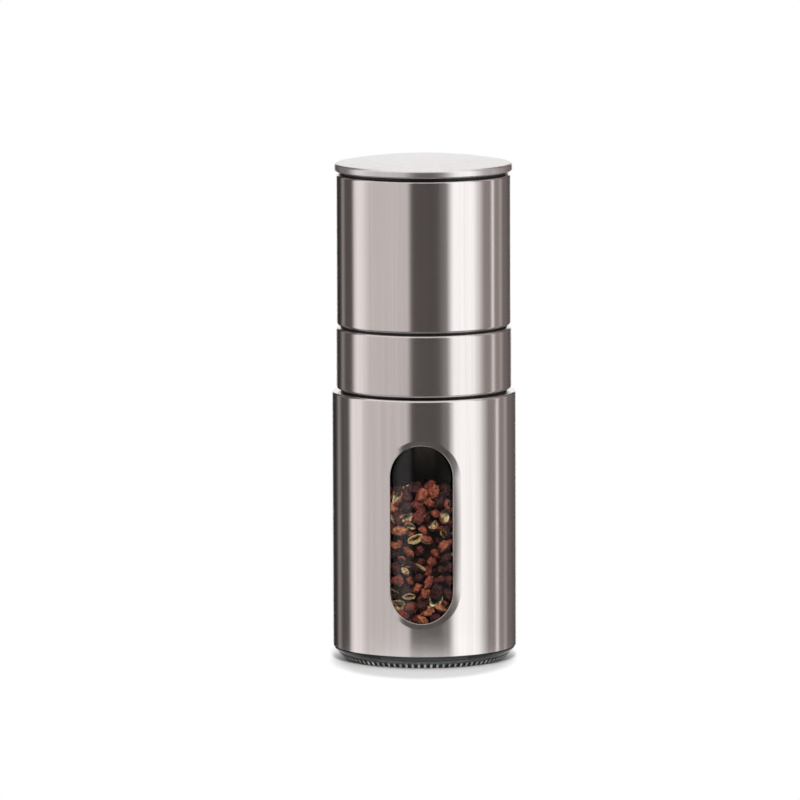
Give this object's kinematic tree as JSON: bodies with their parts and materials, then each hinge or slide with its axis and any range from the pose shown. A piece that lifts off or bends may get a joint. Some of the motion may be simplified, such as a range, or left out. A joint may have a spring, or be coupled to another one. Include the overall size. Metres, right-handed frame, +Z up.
{
  "type": "pepper mill",
  "caption": "Cylindrical steel and glass pepper mill: a windowed sleeve over a glass jar, a brushed collar, a twist head with ceramic burrs and a domed lift-off lid.",
  "frame": {"origin": "centre of the ring that the jar stands on", "axes": "+Z up along the mill's axis, the window faces -Y"},
  "size_m": [0.0516, 0.0516, 0.1413],
  "materials": {
    "glass": "clear, faint grey-green",
    "polished_steel": "polished to a near mirror",
    "brushed_steel": "fine circular brushing",
    "plain_steel": "turned",
    "spring_steel": "drawn wire",
    "peppercorn": "dry, wrinkled husks",
    "silicone": "matte translucent white",
    "black_plastic": "fine moulded grain",
    "ceramic": "fired, unglazed",
    "brass": "turned"
  },
  "bodies": {
    "jar": {"glass_jar": "glass", "steel_sleeve": "polished_steel", "peppercorn_fill": "peppercorn"},
    "gasket": {"neck_gasket": "silicone"},
    "collar": {"collar_ring": "brushed_steel", "collar_liner": "black_plastic", "drive_shaft": "plain_steel", "burr_spring": "spring_steel", "glide_washer": "black_plastic", "snap_ring": "spring_steel", "shaft_clip": "spring_steel"},
    "burr": {"thrust_washer": "plain_steel", "burr_carrier": "black_plastic", "inner_burr": "ceramic"},
    "knob": {"adjust_knob": "black_plastic", "knob_nut": "brass"},
    "head": {"head_shell": "polished_steel", "head_housing": "black_plastic", "burr_holder": "black_plastic", "outer_burr": "ceramic", "burr_lock_ring": "black_plastic", "mouth_ring": "black_plastic"},
    "lid": {"lid_cap": "brushed_steel", "lid_plug": "black_plastic", "lid_seal": "silicone"}
  },
  "joints": [
    {"name": "head_lift", "type": "slide", "parent": "jar", "child": "gasket", "axis": [0, 0, 1], "range_m": [0, 0.006]},
    {"name": "head_unscrew", "type": "hinge", "parent": "gasket", "child": "collar", "pos_m": [0, 0, 0.0881], "axis": [0, 0, 1], "range_deg": [0, 540]},
    {"name": "grind_turn", "type": "hinge", "parent": "collar", "child": "head", "pos_m": [0, 0, 0.0944], "axis": [0, 0, 1], "continuous": true},
    {"name": "lid_lift", "type": "slide", "parent": "head", "child": "lid", "axis": [0, 0, 1], "range_m": [0, 0.03]},
    {"name": "burr_adjust", "type": "slide", "parent": "collar", "child": "burr", "axis": [0, 0, 1], "range_m": [-0.001, 0.001], "deforming": ["burr_spring"]},
    {"name": "knob_turn", "type": "hinge", "parent": "burr", "child": "knob", "pos_m": [0, 0, 0.1137], "axis": [0, 0, 1], "range_deg": [-360, 360]}
  ],
  "couplings": [
    {"joint": "head_unscrew", "follows": "head_lift", "rad_per_m": 1570.8},
    {"joint": "knob_turn", "follows": "burr_adjust", "rad_per_m": 6283.1}
  ]
}
